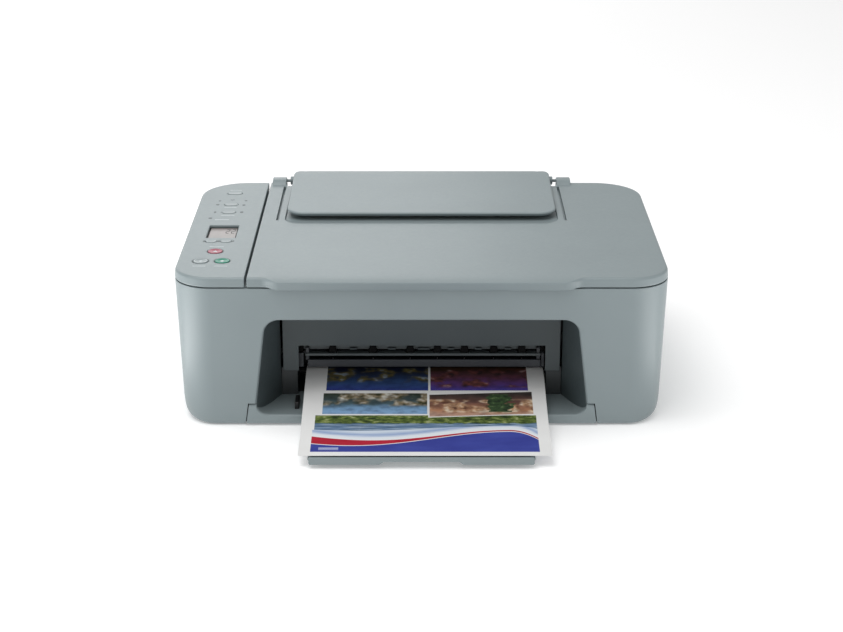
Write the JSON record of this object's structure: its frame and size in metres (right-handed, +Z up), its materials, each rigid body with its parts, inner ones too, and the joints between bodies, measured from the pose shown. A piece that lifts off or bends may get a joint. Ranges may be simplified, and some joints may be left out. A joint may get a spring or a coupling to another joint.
{
  "type": "inkjet printer",
  "caption": "Compact all-in-one inkjet printer with flatbed scanner lid, slanted key strip, rear sheet feeder and a front delivery bay with a sliding paper tray and printed sheet.",
  "frame": {"origin": "Middle of the whole object's plan box (trays drawn out), on the plane of the table", "axes": "X to the printer's right seen from the front, Y from the front to the rear, Z up"},
  "size_m": [0.435, 0.406, 0.1488],
  "materials": {
    "sage_plastic": "satin grey-green moulded plastic with a very fine grain",
    "dark_plastic": "dark grey satin plastic inside the delivery bay and feeder",
    "black_plastic": "black moulded plastic",
    "sheet_steel": "zinc plated sheet steel and ground shafts",
    "white_plastic": "white plastic",
    "foam_white": "white pressed foam and felt",
    "paper": "smooth coated paper with a printed picture sheet",
    "glass": "clear float glass",
    "rubber_black": "soft black rubber",
    "board_green": "green circuit board with solder mask",
    "lcd_grey": "grey reflective segment display under a clear window",
    "button_sage": "satin grey-green keys with pale rings",
    "button_red": "red key",
    "button_green": "green key"
  },
  "bodies": {
    "casing": {"main_case": "sage_plastic", "base_case": "sage_plastic", "foot_front_left": "rubber_black", "foot_front_right": "rubber_black", "foot_rear_left": "rubber_black", "foot_rear_right": "rubber_black", "scanner_frame": "sage_plastic", "platen_glass": "glass", "scan_rail": "sheet_steel", "operation_panel": "sage_plastic", "panel_board": "board_green", "lcd_module": "lcd_grey", "hinge_bracket_left": "dark_plastic", "hinge_bracket_right": "dark_plastic", "star_wheel_holder": "black_plastic", "print_platen": "black_plastic", "pinch_roller_holder": "black_plastic", "feed_motor": "sheet_steel", "chassis": "sheet_steel", "carriage_belt": "black_plastic", "carriage_motor": "sheet_steel", "encoder_strip": "white_plastic", "rear_tray": "dark_plastic", "purge_unit": "dark_plastic", "waste_ink_pad": "foam_white", "main_board": "board_green", "power_supply": "black_plastic", "power_inlet": "black_plastic", "usb_port": "sheet_steel"},
    "scanning_head": {"scan_head": "black_plastic"},
    "stop_key": {"stop_button": "button_red"},
    "mono_key": {"mono_start_button": "button_sage"},
    "color_key": {"color_start_button": "button_green"},
    "power_key": {"power_button": "button_sage"},
    "wireless_key": {"wireless_button": "button_sage"},
    "info_key": {"info_button": "button_sage"},
    "select_left_key": {"select_button_left": "button_sage"},
    "select_right_key": {"select_button_right": "button_sage"},
    "cover": {"document_cover": "sage_plastic", "document_pad": "foam_white"},
    "support": {"paper_support": "sage_plastic"},
    "inner_cover": {"access_cover": "dark_plastic"},
    "stars": {"star_wheels": "sheet_steel"},
    "ejecting": {"eject_roller": "rubber_black", "eject_gear": "white_plastic"},
    "feeding": {"feed_roller": "sheet_steel", "feed_gear": "white_plastic"},
    "idling": {"idler_gear": "white_plastic"},
    "pinion": {"motor_pinion": "sheet_steel"},
    "print_carriage": {"carriage": "black_plastic", "black_cartridge": "black_plastic", "color_cartridge": "black_plastic"},
    "drive_pulley": {"motor_pulley": "sheet_steel"},
    "return_pulley": {"idler_pulley": "black_plastic"},
    "guide_left": {"paper_guide_left": "dark_plastic"},
    "guide_right": {"paper_guide_right": "dark_plastic"},
    "picking": {"pickup_roller": "rubber_black"},
    "tray": {"output_tray": "sage_plastic"},
    "tray_end": {"tray_extension": "sage_plastic"},
    "sheet": {"printed_sheet": "paper"}
  },
  "joints": [
    {"name": "cover_hinge", "type": "hinge", "parent": "casing", "child": "cover", "pos_m": [0, 0.187, 0.136], "axis": [-1, 0, 0], "range_deg": [0, 75]},
    {"name": "support_hinge", "type": "hinge", "parent": "cover", "child": "support", "pos_m": [0, 0.191, 0.14], "axis": [-1, 0, 0], "range_deg": [0, 105]},
    {"name": "inner_cover_hinge", "type": "hinge", "parent": "casing", "child": "inner_cover", "pos_m": [0, -0.0635, 0.101], "axis": [-1, 0, 0], "range_deg": [0, 70]},
    {"name": "scan_slide", "type": "slide", "parent": "casing", "child": "scanning_head", "axis": [1, 0, 0], "range_m": [0, 0.27]},
    {"name": "carriage_slide", "type": "slide", "parent": "casing", "child": "print_carriage", "axis": [1, 0, 0], "range_m": [-0.245, 0]},
    {"name": "drive_pulley_spin", "type": "hinge", "parent": "casing", "child": "drive_pulley", "pos_m": [0.188, 0.0304, 0.088], "axis": [0, 0, 1], "continuous": true},
    {"name": "return_pulley_spin", "type": "hinge", "parent": "casing", "child": "return_pulley", "pos_m": [-0.138, 0.0304, 0.088], "axis": [0, 0, 1], "continuous": true},
    {"name": "feed_roller_spin", "type": "hinge", "parent": "casing", "child": "feeding", "pos_m": [0, 0.009, 0.025], "axis": [1, 0, 0], "continuous": true},
    {"name": "idler_gear_spin", "type": "hinge", "parent": "casing", "child": "idling", "pos_m": [-0.153, -0.016, 0.025], "axis": [1, 0, 0], "continuous": true},
    {"name": "eject_roller_spin", "type": "hinge", "parent": "casing", "child": "ejecting", "pos_m": [0, -0.041, 0.0257], "axis": [1, 0, 0], "continuous": true},
    {"name": "motor_pinion_spin", "type": "hinge", "parent": "casing", "child": "pinion", "pos_m": [-0.153, 0.02173, 0.03773], "axis": [1, 0, 0], "continuous": true},
    {"name": "star_wheel_spin", "type": "hinge", "parent": "casing", "child": "stars", "pos_m": [0, -0.041, 0.037], "axis": [1, 0, 0], "continuous": true},
    {"name": "pickup_roller_spin", "type": "hinge", "parent": "casing", "child": "picking", "pos_m": [0, 0.10574, 0.06851], "axis": [1, 0, 0], "continuous": true},
    {"name": "guide_left_slide", "type": "slide", "parent": "casing", "child": "guide_left", "axis": [1, 0, 0], "range_m": [0, 0.05]},
    {"name": "guide_right_slide", "type": "slide", "parent": "casing", "child": "guide_right", "axis": [1, 0, 0], "range_m": [-0.05, 0]},
    {"name": "tray_slide", "type": "slide", "parent": "casing", "child": "tray", "axis": [0, 1, 0], "range_m": [0, 0.047]},
    {"name": "tray_end_slide", "type": "slide", "parent": "tray", "child": "tray_end", "axis": [0, 1, 0], "range_m": [0, 0.039]},
    {"name": "sheet_slide", "type": "slide", "parent": "casing", "child": "sheet", "axis": [0, -1, 0], "range_m": [0, 0.117]},
    {"name": "stop_press", "type": "slide", "parent": "casing", "child": "stop_key", "axis": [0, 0, -1], "range_m": [0, 0.0009], "stiffness_N_per_m": 300},
    {"name": "mono_press", "type": "slide", "parent": "casing", "child": "mono_key", "axis": [0, 0, -1], "range_m": [0, 0.0009], "stiffness_N_per_m": 300},
    {"name": "color_press", "type": "slide", "parent": "casing", "child": "color_key", "axis": [0, 0, -1], "range_m": [0, 0.0009], "stiffness_N_per_m": 300},
    {"name": "power_press", "type": "slide", "parent": "casing", "child": "power_key", "axis": [0, 0, -1], "range_m": [0, 0.0009], "stiffness_N_per_m": 300},
    {"name": "wireless_press", "type": "slide", "parent": "casing", "child": "wireless_key", "axis": [0, 0, -1], "range_m": [0, 0.0009], "stiffness_N_per_m": 300},
    {"name": "info_press", "type": "slide", "parent": "casing", "child": "info_key", "axis": [0, 0, -1], "range_m": [0, 0.0009], "stiffness_N_per_m": 300},
    {"name": "select_left_press", "type": "slide", "parent": "casing", "child": "select_left_key", "axis": [0, 0, -1], "range_m": [0, 0.0009], "stiffness_N_per_m": 300},
    {"name": "select_right_press", "type": "slide", "parent": "casing", "child": "select_right_key", "axis": [0, 0, -1], "range_m": [0, 0.0009], "stiffness_N_per_m": 300}
  ],
  "couplings": [
    {"joint": "idler_gear_spin", "follows": "feed_roller_spin", "ratio": -0.92308},
    {"joint": "eject_roller_spin", "follows": "feed_roller_spin", "ratio": 1},
    {"joint": "motor_pinion_spin", "follows": "feed_roller_spin", "ratio": -2},
    {"joint": "star_wheel_spin", "follows": "feed_roller_spin", "ratio": -1},
    {"joint": "guide_left_slide", "follows": "guide_right_slide", "ratio": -1}
  ]
}
